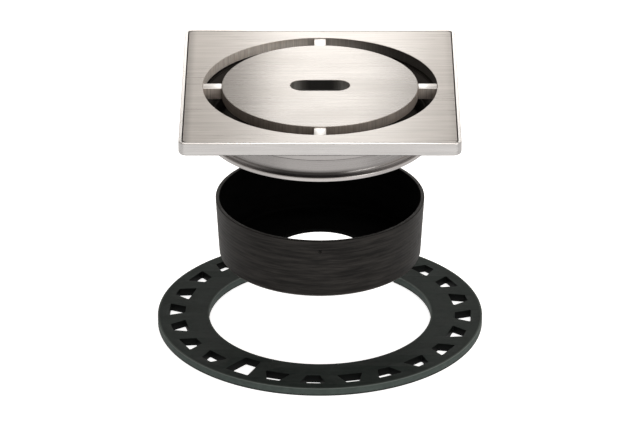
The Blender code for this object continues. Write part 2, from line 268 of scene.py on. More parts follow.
def brushed_steel(name, along="X", tint=(0.60, 0.585, 0.565), rough=(0.24, 0.36),
                  aniso=0.6, grain=1.0, seed=0.0, polar=False, painted_light_bands=(), corner_shade=None,
                  edge_falloff_shade=None):
    """Ground stainless: long fine streaks, a few deeper lines, faint smears."""
    n = Nodes(name)
    if polar:
        angle, radius, z, cosine, sine = n.polar()
        base = n.vector(n.math("MULTIPLY", cosine, 0.012), n.math("MULTIPLY", sine, 0.012),
                        n.math("ADD", z, n.math("MULTIPLY", radius, 0.6)))
        fine = n.noise(n.mapped((60, 60, 9000), source=base, location=(seed, 0, seed)), 1.0, 3.0, 0.6)
        mid = n.noise(n.mapped((25, 25, 1900), source=base, location=(0, seed, seed)), 1.0, 2.0, 0.5)
        deep = n.noise(n.mapped((90, 90, 3600), source=base, location=(seed, seed, 0)), 1.0, 1.0, 0.4)
        cloud = n.noise(n.mapped((60, 60, 60), location=(seed, 0, 0)), 1.0, 2.0, 0.5)
    else:
        stretch = (60, 3400, 3400) if along == "X" else (3400, 60, 3400)
        stretch2 = (32, 1050, 1050) if along == "X" else (1050, 32, 1050)
        stretch3 = (60, 3400, 3400) if along == "X" else (3400, 60, 3400)
        fine = n.noise(n.mapped(stretch, location=(seed, seed, 0)), 1.0, 3.0, 0.6)
        mid = n.noise(n.mapped(stretch2, location=(0, seed, 0)), 1.0, 2.0, 0.5)
        deep = n.noise(n.mapped(stretch3, location=(seed, 0, seed)), 1.0, 1.0, 0.4)
        cloud = n.noise(n.mapped((28, 55, 55), location=(seed, 0, 0)), 1.0, 2.0, 0.5)
    streak = n.math("ADD", n.math("MULTIPLY", fine, 0.5), n.math("MULTIPLY", mid, 0.5))
    # darker and lighter hairlines in the metal's own colour
    contrast = min(1.0, 0.35 + 0.65 * grain)
    dark = tuple(c * (1.0 - 0.17 * contrast) for c in tint)
    light = tuple(min(1.0, c * (1.0 + 0.12 * contrast)) for c in tint)
    colour = n.mix(n.span(streak, 0.36, 0.64, 0.0, 1.0), dark, light)
    hair = n.span(deep, 0.64, 0.78, 0.0, 0.16 * grain)
    colour = n.mix(hair, colour, tuple(c * 0.62 for c in tint))
    smear = n.span(cloud, 0.45, 0.75, 0.0, 0.18)
    colour = n.mix(smear, colour, tuple(c * 0.86 for c in (tint[0], tint[1] * 0.985, tint[2] * 0.965)))
    if painted_light_bands:
        sep = n.add("ShaderNodeSeparateXYZ")
        n.link(n.tc.outputs["Object"], sep.inputs[0])
        for z_from, z_to, factor in painted_light_bands:
            # painted highlight: a change of tone between two heights, full above z_to
            grey = n.span(sep.outputs["Z"], z_from, z_to, factor[0], factor[1], smooth=True)
            colour = n.mix(1.0, colour, n.vector(grey, grey, grey), blend="MULTIPLY")
    if edge_falloff_shade:
        # painted shade: darker towards each side edge, copying how the photo's highlight falls off
        half, reach_in, left, right = edge_falloff_shade
        where = n.add("ShaderNodeSeparateXYZ")
        n.link(n.tc.outputs["Object"], where.inputs[0])
        near_left = n.span(where.outputs["X"], -half, -half + reach_in, left, 1.0, smooth=True)
        near_right = n.span(where.outputs["X"], half - reach_in, half, 1.0, right, smooth=True)
        tone = n.math("MULTIPLY", near_left, near_right)
        colour = n.mix(1.0, colour, n.vector(tone, tone, tone), blend="MULTIPLY")
    if corner_shade:
        # painted shade in the corner above the flange: darkest in the middle, thinner towards the sides
        foot, full, clear = corner_shade
        pos = n.add("ShaderNodeSeparateXYZ")
        n.link(n.tc.outputs["Object"], pos.inputs[0])
        off = n.math("ABSOLUTE", n.math("ADD", pos.outputs["X"], 0.004))
        reach = n.span(off, 0.008, 0.032, 1.0, 0.04, smooth=True)
        up = n.math("MULTIPLY", n.span(pos.outputs["Z"], foot - 0.05 * MM, foot + 0.02 * MM, 0.0, 1.0),
                    n.span(pos.outputs["Z"], full, clear, 1.0, 0.0, smooth=True))
        amount = n.math("MULTIPLY", n.math("MULTIPLY", up, reach), 0.89)
        colour = n.mix(amount, colour, (0.012, 0.011, 0.011))
    n.link(colour, n.bsdf.inputs["Base Color"])
    r = n.math("ADD", n.span(streak, 0.35, 0.65, rough[0], rough[1]),
               n.span(cloud, 0.4, 0.8, 0.0, 0.05))
    n.link(r, n.bsdf.inputs["Roughness"])
    n.bsdf.inputs["Metallic"].default_value = 1.0
    n.bsdf.inputs["Anisotropic"].default_value = aniso
    # highlights stretch across the grinding lines, so the tangent crosses them
    if polar:
        tangent = n.add("ShaderNodeTangent")
        tangent.direction_type = "RADIAL"
        tangent.axis = "Z"
        n.link(tangent.outputs[0], n.bsdf.inputs["Tangent"])
        n.bsdf.inputs["Anisotropic Rotation"].default_value = 0.25
    else:
        n.link(n.vector(*((0.0, 1.0, 0.0) if along == "X" else (1.0, 0.0, 0.0))),
               n.bsdf.inputs["Tangent"])
    height = n.math("SUBTRACT", streak, n.math("MULTIPLY", n.span(deep, 0.64, 0.78, 0.0, 1.0), 0.25))
    n.link(n.bump(height, 0.26 * grain, 0.00004), n.bsdf.inputs["Normal"])
    return n.mat


# ------------------------------------------------------------------ materials
plate_mat = brushed_steel("plate_brushed_steel_look", "X", tint=(0.444, 0.425, 0.406),
                          rough=(0.265, 0.315), aniso=0.80, seed=1.3,
                          edge_falloff_shade=(PLATE[1].x, 3.4 * MM, 0.66, 0.86))
disc_mat = brushed_steel("disc_brushed_steel_look", "X", tint=(0.400, 0.382, 0.364),
                         rough=(0.235, 0.280), aniso=0.88, seed=7.9,
                         edge_falloff_shade=(DISC[1].x, 24 * MM, 0.62, 0.70))
tray_mat_x = brushed_steel("tray_steel_look_x", "X", tint=(0.80, 0.785, 0.775),
                           rough=(0.20, 0.28), aniso=0.3, grain=0.4, seed=3.1)
tray_mat_y = brushed_steel("tray_steel_look_y", "Y", tint=(0.80, 0.79, 0.78),
                           rough=(0.26, 0.30), aniso=0.2, grain=0.12, seed=8.1)
LIP_TOP = COL[0].z + 1.5 * MM
collar_mat = brushed_steel(
    "collar_steel_look", polar=True, rough=(0.20, 0.30), aniso=0.35,
    tint=(0.50, 0.482, 0.474), grain=0.6, seed=4.2,
    # painted highlight on the flange edge, painted shade in the corner above it, painted highlight on the neck
    painted_light_bands=((LIP_TOP - 0.10 * MM, LIP_TOP + 0.05 * MM, (1.45, 1.0)),
           (TRAY[0].z - 6.5 * MM, TRAY[0].z - 6.3 * MM, (1.0, 1.16))),
    corner_shade=(LIP_TOP, LIP_TOP + 0.35 * MM, LIP_TOP + 2.5 * MM))
bar_mat = brushed_steel("bar_steel_look", "X", rough=(0.26, 0.36), aniso=0.2,
                        tint=(0.66, 0.65, 0.635), grain=0.6, seed=5.5)
bar_mat_y = brushed_steel("bar_steel_look_y", "Y", rough=(0.26, 0.36), aniso=0.2,
                          tint=(0.86, 0.85, 0.835), grain=0.6, seed=6.5)


def cut_edge(name, tint, rough, seed, middle_shade=0.0, metal=1.0, reflection_slope=(1.0, 1.0)):
    """A cut edge: upright cutting lines, heat-tinted, duller than the ground faces."""
    n = Nodes(name)
    lines = n.noise(n.mapped((2600, 2600, 90), location=(seed, 0, 0)), 1.0, 2.0, 0.5)
    tintn = n.noise(n.mapped((160, 160, 500), location=(0, seed, 0)), 1.0, 3.0, 0.5)
    colour = n.mix(n.span(lines, 0.35, 0.65, 0.0, 1.0), tuple(c * 0.78 for c in tint),
                   tuple(c * 1.12 for c in tint))
    colour = n.mix(n.span(tintn, 0.5, 0.8, 0.0, 0.5), colour,
                   (tint[0] * 0.75, tint[1] * 0.68, tint[2] * 0.60))
    sep = n.add("ShaderNodeSeparateXYZ")
    n.link(n.tc.outputs["Object"], sep.inputs[0])
    if reflection_slope != (1.0, 1.0):
        # painted reflection: tone falls from one side of the piece to the other, copying the photo's reflections
        tone = n.span(sep.outputs["X"], -0.030, 0.030, reflection_slope[0], reflection_slope[1], smooth=True)
        colour = n.mix(1.0, colour, n.vector(tone, tone, tone), blend="MULTIPLY")
    if middle_shade:
        # painted shade, darkest in the middle of the straight sides
        away = n.math("ABSOLUTE", sep.outputs["X"])
        middle_shade_amount = n.span(away, 0.0035, 0.0105, middle_shade, 0.0, smooth=True)
        colour = n.mix(middle_shade_amount, colour, tuple(c * 0.12 for c in tint))
    n.link(colour, n.bsdf.inputs["Base Color"])
    n.link(n.span(lines, 0.3, 0.7, rough, rough + 0.12), n.bsdf.inputs["Roughness"])
    n.bsdf.inputs["Metallic"].default_value = metal
    n.link(n.bump(n.math("ADD", lines, n.math("MULTIPLY", tintn, 0.3)), 0.3, 0.00005),
           n.bsdf.inputs["Normal"])
    return n.mat


plate_edge_mat = cut_edge("plate_cut_edge_look", (0.62, 0.575, 0.53), 0.34, 2.0,
                          metal=0.40, reflection_slope=(1.60, 0.12))
disc_edge_mat = cut_edge("disc_cut_edge_look", (0.42, 0.375, 0.34), 0.34, 6.0,
                         metal=0.60, reflection_slope=(0.55, 1.75))
slot_edge_mat = cut_edge("slot_cut_edge_look", (0.46, 0.445, 0.42), 0.34, 9.0, middle_shade=0.985, metal=0.8)
bar_edge_mat = cut_edge("bar_cut_edge_look", (0.60, 0.55, 0.51), 0.45, 4.0, metal=0.45)


def shaded_inner_look():
    """The collar's inside: unpolished, painted dark as shade, with faint patches and drip marks."""
    n = Nodes("collar_inside_shaded_look")
    patch = n.noise(n.mapped((120, 120, 60)), 1.0, 4.0, 0.6)
    drip = n.noise(n.mapped((420, 420, 60)), 1.0, 3.0, 0.6)
    grit = n.noise(n.mapped((2200, 2200, 2200)), 1.0, 2.0, 0.5)
    colour = n.mix(n.span(patch, 0.35, 0.7, 0.0, 1.0), (0.018, 0.016, 0.014), (0.034, 0.030, 0.027))
    colour = n.mix(n.span(drip, 0.60, 0.78, 0.0, 0.4), colour, (0.052, 0.046, 0.040))
    n.link(colour, n.bsdf.inputs["Base Color"])
    n.link(n.span(patch, 0.3, 0.7, 0.50, 0.68), n.bsdf.inputs["Roughness"])
    n.bsdf.inputs["Metallic"].default_value = 0.35
    n.bsdf.inputs["Specular IOR Level"].default_value = 0.2
    n.link(n.bump(n.math("ADD", grit, drip), 0.35, 0.00008), n.bsdf.inputs["Normal"])
    return n.mat


shaded_inner_mat = shaded_inner_look()


def gap_shade_steel_look():
    """Unpolished pressed steel, painted darker as shade for the narrow gaps: a soft mottle, faint draw lines, dried
    water marks.
    """
    n = Nodes("gap_shade_steel_look")
    mottle = n.noise(n.mapped((240, 240, 240)), 1.0, 4.0, 0.6)
    draw = n.noise(n.mapped((60, 1500, 1500)), 1.0, 2.0, 0.5)
    mark = n.noise(n.mapped((90, 90, 90), location=(2.0, 0, 0)), 1.0, 2.0, 0.5, 0.8)
    colour = n.mix(n.span(mottle, 0.35, 0.68, 0.0, 1.0), (0.175, 0.168, 0.160), (0.270, 0.262, 0.250))
    colour = n.mix(n.span(mark, 0.56, 0.62, 0.0, 0.30), colour, (0.34, 0.33, 0.31))
    n.link(colour, n.bsdf.inputs["Base Color"])
    n.link(n.math("ADD", n.span(mottle, 0.3, 0.7, 0.38, 0.50), n.span(draw, 0.4, 0.7, 0.0, 0.06)),
           n.bsdf.inputs["Roughness"])
    n.bsdf.inputs["Metallic"].default_value = 1.0
    n.link(n.bump(n.math("ADD", draw, n.math("MULTIPLY", mottle, 0.5)), 0.25, 0.00006),
           n.bsdf.inputs["Normal"])
    return n.mat


gap_shade_mat = gap_shade_steel_look()


def black_ring_look():
    """Black plastic with fine, slightly wavy turning lines and faint scuffs."""
    n = Nodes("height_ring_look")
    angle, radius, z, cosine, sine = n.polar()
    turn = n.vector(n.math("MULTIPLY", cosine, 0.012), n.math("MULTIPLY", sine, 0.012), z)
    sway = n.noise(n.mapped((260, 260, 90), source=turn), 1.0, 2.0, 0.5)
    # the lines wander up and down a little as they go round
    z_wavy = n.math("ADD", z, n.math("MULTIPLY", n.math("SUBTRACT", sway, 0.5), 0.0010))
    base = n.vector(n.math("MULTIPLY", cosine, 0.012), n.math("MULTIPLY", sine, 0.012), z_wavy)
    lines = n.noise(n.mapped((230, 230, 900), source=base), 1.0, 2.0, 0.5)
    fine = n.noise(n.mapped((480, 480, 2100), source=base), 1.0, 2.0, 0.5)
    broad = n.noise(n.mapped((160, 160, 240), source=base), 1.0, 2.0, 0.5)
    dust = n.noise(n.mapped((240, 240, 420)), 1.0, 4.0, 0.6)
    speck = n.noise(n.mapped((1900, 1900, 1900)), 1.0, 2.0, 0.5)
    both = n.math("ADD", n.math("MULTIPLY", lines, 0.6), n.math("MULTIPLY", fine, 0.4))
    colour = n.mix(n.span(both, 0.38, 0.64, 0.0, 1.0), (0.0072, 0.0066, 0.0061), (0.0268, 0.0246, 0.0228))
    colour = n.mix(n.span(broad, 0.5, 0.75, 0.0, 0.22), colour, (0.0250, 0.0222, 0.0198))
    # the top edge stays dark
    colour = n.mix(n.span(z, HGT[1].z - 0.35 * MM, HGT[1].z - 0.15 * MM, 0.0, 0.7), colour, (0.006, 0.0055, 0.005))
    colour = n.mix(n.span(dust, 0.62, 0.80, 0.0, 0.22), colour, (0.046, 0.043, 0.040))
    # the rounded foot is a little lighter, rubbed against the ring below
    foot = n.span(z, HGT[0].z + 0.6 * MM, HGT[0].z + 2.2 * MM, 0.30, 0.0, smooth=True)
    colour = n.mix(foot, colour, (0.052, 0.044, 0.040))
    n.link(colour, n.bsdf.inputs["Base Color"])
    r = n.math("ADD", n.span(both, 0.3, 0.7, 0.34, 0.50), n.span(dust, 0.5, 0.8, 0.0, 0.12))
    n.link(r, n.bsdf.inputs["Roughness"])
    n.bsdf.inputs["Specular IOR Level"].default_value = 0.14
    h = n.math("ADD", n.math("MULTIPLY", both, 0.8), n.math("MULTIPLY", speck, 0.10))
    n.link(n.bump(h, 0.55, 0.00016), n.bsdf.inputs["Normal"])
    return n.mat


def bowl_shade_look():
    """The bowl's inside: the same plastic painted far darker as shade, dead matt, with faint flow marks."""
    n = Nodes("height_ring_inside_painted_shade_look")
    flow = n.noise(n.mapped((90, 90, 260)), 1.0, 3.0, 0.6)
    grit = n.noise(n.mapped((2200, 2200, 2200)), 1.0, 2.0, 0.5)
    n.link(n.mix(n.span(flow, 0.35, 0.7, 0.0, 1.0), (0.0016, 0.0016, 0.0017), (0.0034, 0.0033, 0.0033)),
           n.bsdf.inputs["Base Color"])
    n.link(n.span(flow, 0.3, 0.7, 0.60, 0.75), n.bsdf.inputs["Roughness"])
    n.bsdf.inputs["Specular IOR Level"].default_value = 0.03
    n.link(n.bump(grit, 0.3, 0.00006), n.bsdf.inputs["Normal"])
    return n.mat


def grey_ring_look():
    """Dark green-grey moulded plastic: fine spark texture, flow marks, painted reflection on the rim walls, painted
    highlight on the top edges, painted shade in the windows and along the foot.
    """
    n = Nodes("adjustment_ring_look")
    angle, radius, z, cosine, sine = n.polar()
    flow = n.noise(n.mapped((85, 85, 85)), 1.0, 4.0, 0.62, 0.5)
    grain = n.noise(n.mapped((2100, 2100, 2100)), 1.0, 3.0, 0.6)
    blot = n.noise(n.mapped((420, 420, 420)), 1.0, 3.0, 0.6)
    scuff = n.noise(n.mapped((260, 900, 400), rotation=(0, 0, 0.5)), 1.0, 3.0, 0.6)
    colour = n.mix(n.span(flow, 0.35, 0.68, 0.0, 1.0), (0.0158, 0.0206, 0.0193), (0.0262, 0.0336, 0.0315))
    colour = n.mix(n.span(blot, 0.56, 0.74, 0.0, 0.5), colour, (0.0110, 0.0143, 0.0134))
    colour = n.mix(n.span(scuff, 0.60, 0.76, 0.0, 0.28), colour, (0.050, 0.061, 0.057))
    # how upright the face is, from the piece's own normals
    sep = n.add("ShaderNodeSeparateXYZ")
    n.link(n.tc.outputs["Normal"], sep.inputs[0])
    upright = n.span(n.math("ABSOLUTE", sep.outputs["Z"]), 0.35, 0.75, 1.0, 0.0, smooth=True)
    # painted reflection on the upright outer and inner rim walls, painted shade on the window walls
    rim = n.math("MAXIMUM", n.span(radius, 0.0592, 0.0596, 0.0, 1.0),
                 n.span(radius, 0.0413, 0.0417, 1.0, 0.0))
    rim_wall_sheen = n.math("MULTIPLY", upright, rim)
    sheen_patches = n.span(blot, 0.35, 0.65, 0.72, 1.0)
    colour = n.mix(n.math("MULTIPLY", rim_wall_sheen, sheen_patches), colour, (0.066, 0.083, 0.077))
    # painted highlight: a pale line along the top edge of the rims
    top_edge_highlight = n.math("MULTIPLY", n.math("MULTIPLY", rim, n.span(z, ADJ[1].z - 0.35 * MM, ADJ[1].z - 0.15 * MM, 0.0, 1.0)),
                   n.span(z, ADJ[1].z + 0.04 * MM, ADJ[1].z - 0.04 * MM, 0.0, 1.0))
    colour = n.mix(n.math("MULTIPLY", top_edge_highlight, 0.7), colour, (0.150, 0.172, 0.162))
    # painted shade: darker along the foot of the rims, where they stand on the floor
    low = n.math("MULTIPLY", rim, n.span(z, 0.00030, 0.00075, 1.0, 0.0))
    colour = n.mix(n.math("MULTIPLY", low, 0.85), colour, (0.008, 0.010, 0.009))
    # painted shade: the window walls near black
    inner = n.math("MULTIPLY", upright, n.math("SUBTRACT", 1.0, rim))
    colour = n.mix(n.math("MULTIPLY", inner, 0.9), colour, (0.0030, 0.0034, 0.0033))
    n.link(colour, n.bsdf.inputs["Base Color"])
    r = n.math("ADD", n.span(flow, 0.3, 0.7, 0.42, 0.52), n.span(scuff, 0.5, 0.75, 0.0, 0.10))
    n.link(r, n.bsdf.inputs["Roughness"])
    n.bsdf.inputs["Specular IOR Level"].default_value = 0.06
    h = n.math("ADD", n.math("MULTIPLY", grain, 0.6), n.math("MULTIPLY", flow, 0.6))
    n.link(n.bump(h, 0.45, 0.00008), n.bsdf.inputs["Normal"])
    return n.mat


def rubber_look():
    n = Nodes("rest_pad_look")
    grain = n.noise(n.mapped((1600, 1600, 1600)), 1.0, 3.0, 0.6)
    patch = n.noise(n.mapped((300, 300, 300)), 1.0, 2.0, 0.5)
    n.link(n.mix(n.span(patch, 0.4, 0.7, 0.0, 1.0), (0.020, 0.020, 0.020), (0.038, 0.037, 0.036)),
           n.bsdf.inputs["Base Color"])
    n.link(n.span(grain, 0.3, 0.7, 0.68, 0.85), n.bsdf.inputs["Roughness"])
    n.link(n.bump(grain, 0.5, 0.00008), n.bsdf.inputs["Normal"])
    return n.mat


black_mat = black_ring_look()
bowl_shade_mat = bowl_shade_look()
grey_mat = grey_ring_look()
rubber_mat = rubber_look()

# ------------------------------------------------------------ adjustment ring
WIN_COUNT = 24
WIN_START = -2.7
LONG_WINDOW = 16


def rounded(outline, radius, steps=4):
    out = []
    count = len(outline)
    for i in range(count):
        before, here, after = (Vector(outline[i - 1]), Vector(outline[i]),
                               Vector(outline[(i + 1) % count]))
        u, v = (before - here).normalized(), (after - here).normalized()
        half = 0.5 * u.angle(v)
        start = here + u * (radius / math.tan(half))
        centre = here + (u + v).normalized() * (radius / math.sin(half))
        arm = start - centre
        end = here + v * (radius / math.tan(half)) - centre
        sweep = arm.angle_signed(end)
        for s in range(steps + 1):
            t = -sweep * s / steps
            out.append((centre.x + arm.x * math.cos(t) - arm.y * math.sin(t),
                        centre.y + arm.x * math.sin(t) + arm.y * math.cos(t)))
    return out


def window_outline(k):
    if k == LONG_WINDOW:
        outer, inner, half_d, mid = 4.8, 3.2, 5.5, 50.3
    else:
        outer, inner = (4.7, 2.35) if k % 2 == 0 else (2.35, 4.7)
        half_d, mid = 2.95, 52.75
    a = math.radians(WIN_START + 360.0 / WIN_COUNT * k)
    pts = rounded([(-half_d, -inner), (half_d, -outer), (half_d, outer), (-half_d, inner)], 0.5)
    return [((mid + x) * math.cos(a) - y * math.sin(a),
             (mid + x) * math.sin(a) + y * math.cos(a)) for x, y in pts]


def adjustment_ring():
    lo, hi = ADJ
    r_out = hi.x / MM
    thick = (hi.z - lo.z) / MM
    edge = 0.14
    curve = bpy.data.curves.new("adjustment_ring_curve", "CURVE")
    curve.dimensions = "2D"
    curve.fill_mode = "BOTH"
    curve.bevel_depth = edge * MM
    curve.bevel_resolution = 2
    curve.extrude = (thick / 2 - edge) * MM

    def spline(points):
        s = curve.splines.new("POLY")
        s.points.add(len(points) - 1)
        for p, (x, y) in zip(s.points, points):
            p.co = (x * MM, y * MM, 0.0, 1.0)
        s.use_cyclic_u = True

    spline([((r_out - edge) * math.cos(a), (r_out - edge) * math.sin(a)) for a in even(256)])
    # the inner edge carries two small notches, rear right
    inner = []
    for a in even(288):
        deg = math.degrees(a)
        r = 41.0 + edge
        for centre in (48.5, 51.5):
            off = math.radians(deg - centre) * 41.0
            if abs(off) < 0.55:
                r += math.sqrt(max(0.0, 0.55 ** 2 - off ** 2)) * 1.2
        inner.append((r * math.cos(a), r * math.sin(a)))
    spline(inner)
    for k in range(WIN_COUNT):
        pts = window_outline(k)
        c = Vector((sum(p[0] for p in pts), sum(p[1] for p in pts))) / len(pts)
        grown = []
        for x, y in pts:
            d = Vector((x, y)) - c
            grown.append((c.x + d.x * (1 + edge / 3.6), c.y + d.y * (1 + edge / 3.6)))
        spline(grown)
    tmp = bpy.data.objects.new("adjustment_ring_tmp", curve)
    scene.collection.objects.link(tmp)
    dg = bpy.context.evaluated_depsgraph_get()
    mesh = bpy.data.meshes.new_from_object(tmp.evaluated_get(dg))
    bpy.data.objects.remove(tmp)
    bm = bmesh.new()
    bm.from_mesh(mesh)
    bmesh.ops.translate(bm, verts=bm.verts, vec=(0, 0, (lo.z + hi.z) / 2))
    return finish_mesh(bm, "adjustment_ring_body", sharp=35.0, merge=2e-6)


settle(adjustment_ring(), "mortar_ring", "adjustment_ring", grey_mat)


# ---------------------------------------------------------------- height ring
def height_ring():
    lo, hi = HGT
    z0, z1 = lo.z / MM, hi.z / MM
    r_top = hi.x / MM
    r_foot, wall, floor, foot_r, hole = r_top - 1.2, 1.4, 1.6, 2.4, 17.0
    angles = even(288)
    mnoise.seed_set(3)

    def wave(a, z):
        # the shallow, uneven rings that the moulding's tool left
        turn = Vector((math.cos(a) * 1.1, math.sin(a) * 1.1, z * 0.55))
        return 0.050 * mnoise.noise(turn) + 0.030 * math.sin(z * 4.6 + 1.5 * mnoise.noise(turn * 0.8))

    profile = []   # (radius, z, how much of the wave it takes)
    e = 0.30
    for i in range(5):
        t = math.radians(90 - 90 * i / 4)
        profile.append((r_top - e + e * math.cos(t), z1 - e + e * math.sin(t), 0.0))
    # outer wall, tapered, then the rounded foot
    steps = 44
    low = z0 + foot_r
    for i in range(1, steps + 1):
        z = (z1 - e) + (low - (z1 - e)) * i / steps
        r = r_top + (r_foot - r_top) * i / steps
        blend = min(1.0, i / 3.0) * min(1.0, (steps - i) / 3.0 + 0.2)
        profile.append((r, z, blend))
    for i in range(1, 9):
        t = math.radians(-90 * i / 8)
        profile.append((r_foot - foot_r + foot_r * math.cos(t), low + foot_r * math.sin(t), 0.0))
    # underside to the hole, rounded hole edges, floor, inner corner, inner wall
    profile.append((hole + 0.25, z0, 0.0))
    profile.append((hole + 0.07, z0 + 0.07, 0.0))
    profile.append((hole, z0 + 0.25, 0.0))
    profile.append((hole, z0 + floor - 0.25, 0.0))
    profile.append((hole + 0.07, z0 + floor - 0.07, 0.0))
    profile.append((hole + 0.25, z0 + floor, 0.0))
    # a further ring of points on the flat floor
    profile.append((hole + 3.2, z0 + floor, 0.0))
    corner = 1.0
    r_in_low = r_foot - wall
    for i in range(0, 6):
        t = math.radians(-90 + 90 * i / 5)
        profile.append((r_in_low - corner + corner * math.cos(t), z0 + floor + corner + corner * math.sin(t), 0.0))
    r_in_top = r_top - wall
    profile.append((r_in_top - 0.02, z1 - e, 0.0))
    for i in range(1, 5):
        t = math.radians(180 - 90 * i / 4)
        profile.append((r_in_top + e + e * math.cos(t), z1 - e + e * math.sin(t), 0.0))
    loops = []
    for r, z, k in profile:
        if k:
            loops.append(circle(r * MM, z * MM, angles,
                                wobble=lambda a, zz, k=k, z=z: -abs(0.02) * MM * 0 + k * wave(a, z) * MM * 0.6))
        else:
            loops.append(circle(r * MM, z * MM, angles))
    ring = finish_mesh(loft(loops), "height_ring_body", sharp=38.0)
    # the pilot hole, drilled through the front wall
    bm = bmesh.new()
    bmesh.ops.create_cone(bm, cap_ends=True, segments=32, radius1=0.62 * MM,
                          radius2=0.62 * MM, depth=5.0 * MM)
    bmesh.ops.rotate(bm, verts=bm.verts, cent=(0, 0, 0),
                     matrix=Matrix.Rotation(math.radians(90), 3, "X"))
    bmesh.ops.translate(bm, verts=bm.verts,
                        vec=(0, -(r_top - 0.9) * MM, (z1 - 4.2) * MM))
    drill = finish_mesh(bm, "pilot_drill")
    mod = ring.modifiers.new("pilot", "BOOLEAN")
    mod.operation, mod.object, mod.solver = "DIFFERENCE", drill, "EXACT"
    dg = bpy.context.evaluated_depsgraph_get()
    mesh = bpy.data.meshes.new_from_object(ring.evaluated_get(dg))
    ring.modifiers.clear()
    ring.data = mesh
    bpy.data.objects.remove(drill)
    return ring


height_obj = settle(height_ring(), "height_stage", "height_ring", black_mat)
height_obj.data.materials.append(bowl_shade_mat)
# painted shade: the bowl's inner wall and floor take the far darker inside look
for poly in height_obj.data.polygons:
    r = math.hypot(poly.center.x, poly.center.y)
    facing_in = poly.normal.x * poly.center.x + poly.normal.y * poly.center.y < -0.2 * r
    on_floor = poly.normal.z > 0.3 and poly.center.z < HGT[0].z + 6 * MM
    if (facing_in or on_floor) and r < 36.9 * MM:
        poly.material_index = 1


# --------------------------------------------------------------------- collar
def collar():
    lo, hi = COL
    z0, z1 = lo.z / MM, hi.z / MM
    under = TRAY[0].z / MM
    wall, bore, wide, mouth, lip_t, lip_r, outlet = 0.6, 38.5, 39.0, 42.0, 1.5, 41.4, 20.0
    neck, step = under - 3.6, under - 6.5

    def soft(p0, p1, p2, steps=5):
        out = []
        for i in range(steps + 1):
            t = i / steps
            out.append(((1 - t) ** 2 * p0[0] + 2 * t * (1 - t) * p1[0] + t * t * p2[0],
                        (1 - t) ** 2 * p0[1] + 2 * t * (1 - t) * p1[1] + t * t * p2[1]))
        return out

    # outer side, downwards: mouth, funnel, shoulder, wall, fillet, flange
    # the weld bead closes the clearance between the mouth and the tray's bore
    profile = [(mouth + wall + 0.10, z1), (mouth + wall + 0.22, z1 - 0.06), (mouth + wall + 0.265, z1 - 0.14),
               (mouth + wall + 0.265, under + 0.05), (mouth + wall + 0.18, under - 0.03),
               (mouth + wall + 0.02, under - 0.08), (mouth + wall, under - 0.28),
               (mouth + wall - 0.05, under - 0.38)]
    profile += soft((wide + wall + 0.55, neck + 0.75), (wide + wall, neck + 0.05), (wide + wall, neck - 0.8))
    profile += soft((wide + wall, step + 0.42), (wide + wall, step + 0.16), (wide + wall - 0.14, step + 0.10), 3)
    profile += soft((bore + wall + 0.12, step - 0.04), (bore + wall, step - 0.10), (bore + wall, step - 0.34), 3)
    f = 1.5
    zl = z0 + lip_t
    for i in range(0, 9):
        t = math.radians(180 + 90 * i / 8)
        profile.append((bore + wall + f + f * math.cos(t), zl + f + f * math.sin(t)))
    e = 0.28
    for i in range(0, 5):
        t = math.radians(90 - 90 * i / 4)
        profile.append((lip_r - e + e * math.cos(t), zl - e + e * math.sin(t)))
    for i in range(0, 5):
        t = math.radians(-90 * i / 4)
        profile.append((lip_r - e + e * math.cos(t), z0 + e + e * math.sin(t)))
    # underside, outlet, floor, inner wall
    r = 0.3
    for i in range(0, 5):
        t = math.radians(-90 - 90 * i / 4)
        profile.append((outlet + r + r * math.cos(t), z0 + r + r * math.sin(t)))
    for i in range(0, 5):
        t = math.radians(180 - 90 * i / 4)
        profile.append((outlet + r + r * math.cos(t), zl - r + r * math.sin(t)))
    c = 0.8
    for i in range(0, 6):
        t = math.radians(-90 + 90 * i / 5)
        profile.append((bore - c + c * math.cos(t), zl + c + c * math.sin(t)))
    profile += soft((bore, step - 0.2), (bore, step + 0.25), (bore + 0.25, step + 0.32), 3)
    profile += soft((wide - 0.2, step + 0.42), (wide, step + 0.5), (wide, step + 0.8), 3)
    profile += soft((wide, neck - 0.75), (wide, neck + 0.15), (wide + 0.55, neck + 0.95))
    profile += [(mouth - 0.05, under - 0.16), (mouth, under - 0.02), (mouth, z1)]
    angles = even(288)
    loops = [circle(rr * MM, z * MM, angles) for rr, z in profile]
    return finish_mesh(loft(loops), "frame_collar_body", sharp=42.0)


collar_obj = settle(collar(), "collar_stage", "frame_collar", collar_mat)
collar_obj.data.materials.append(shaded_inner_mat)
for poly in collar_obj.data.polygons:
    # painted shade: faces that look inwards and sit above the lip's rounded mouth, with the floor and the mouth's top,
    # take the dark inside look
    out = Vector((poly.center.x, poly.center.y, 0)).normalized()
    inside = poly.normal.dot(out) < -0.35 and poly.center.z > COL[0].z + 0.2 * MM
    on_floor = (poly.normal.z > 0.5 and poly.center.z < COL[0].z + 4.0 * MM
                and math.hypot(poly.center.x, poly.center.y) < 38.6 * MM)
    on_mouth = poly.normal.z > 0.5 and poly.center.z > COL[1].z - 1.0 * MM
    if inside or on_floor or on_mouth:
        poly.material_index = 1


